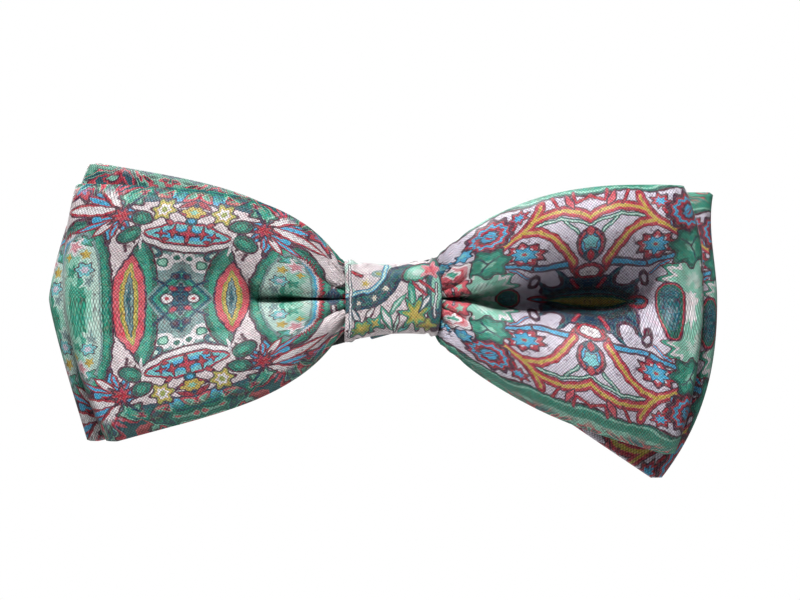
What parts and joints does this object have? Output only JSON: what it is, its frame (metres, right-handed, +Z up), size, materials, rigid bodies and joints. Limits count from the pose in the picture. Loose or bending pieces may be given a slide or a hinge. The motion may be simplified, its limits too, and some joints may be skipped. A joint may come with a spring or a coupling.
{
  "type": "pre-tied bow tie",
  "caption": "Pre-tied bow tie of printed satin: doubled butterfly wings gathered under a knot band, with a folded black neck band, slider, hook and eye behind.",
  "frame": {"origin": "on the back face of the folded neck band, behind the middle of the knot", "axes": "+X along the bow to the right seen from its face, +Y out of its back towards the collar, +Z up as worn"},
  "size_m": [0.1215, 0.0266, 0.0565],
  "materials": {
    "printed_satin": "printed satin, soft sheen",
    "interlining": "needled wool interlining",
    "thread": "polyester sewing thread",
    "black_ribbon": "ribbed ribbon, matt",
    "black_thread": "polyester sewing thread",
    "plated_metal": "nickel plated wire and sheet"
  },
  "bodies": {
    "bow": {"front_loop": "printed_satin", "front_interlining": "interlining", "rear_loop": "printed_satin", "rear_interlining": "interlining", "knot_band": "printed_satin", "knot_interlining": "interlining", "gather_thread": "thread", "waist_stitches": "thread", "knot_stitches": "thread", "keeper_tack": "thread"},
    "keeper": {"keeper_loop": "printed_satin"},
    "band": {"neck_band": "black_ribbon", "band_eye_stitches": "black_thread", "band_tip_stitches": "black_thread"},
    "slider": {"slider": "plated_metal"},
    "hook": {"hook": "plated_metal"},
    "eye": {"eye": "plated_metal"}
  },
  "joints": [
    {"name": "keeper_swivel", "type": "hinge", "parent": "bow", "child": "keeper", "pos_m": [0, -0.0058, 0], "axis": [0, 1, 0], "range_deg": [-6.5, 37.5]},
    {"name": "band_slide", "type": "slide", "parent": "keeper", "child": "band", "axis": [0.9636, 0, 0.2672], "range_m": [-0.006, 0.006]},
    {"name": "slider_slide", "type": "slide", "parent": "band", "child": "slider", "axis": [0.9636, 0, 0.2672], "range_m": [-0.0025, 0.0025]},
    {"name": "hook_pivot", "type": "hinge", "parent": "band", "child": "hook", "pos_m": [0.02698, 0.0015, 0.00748], "axis": [0.2672, 0, -0.9636], "range_deg": [0, 75]},
    {"name": "eye_pivot", "type": "hinge", "parent": "band", "child": "eye", "pos_m": [0.01253, -0.0011, 0.00347], "axis": [-0.2672, 0, 0.9636], "range_deg": [-10, 12]}
  ]
}
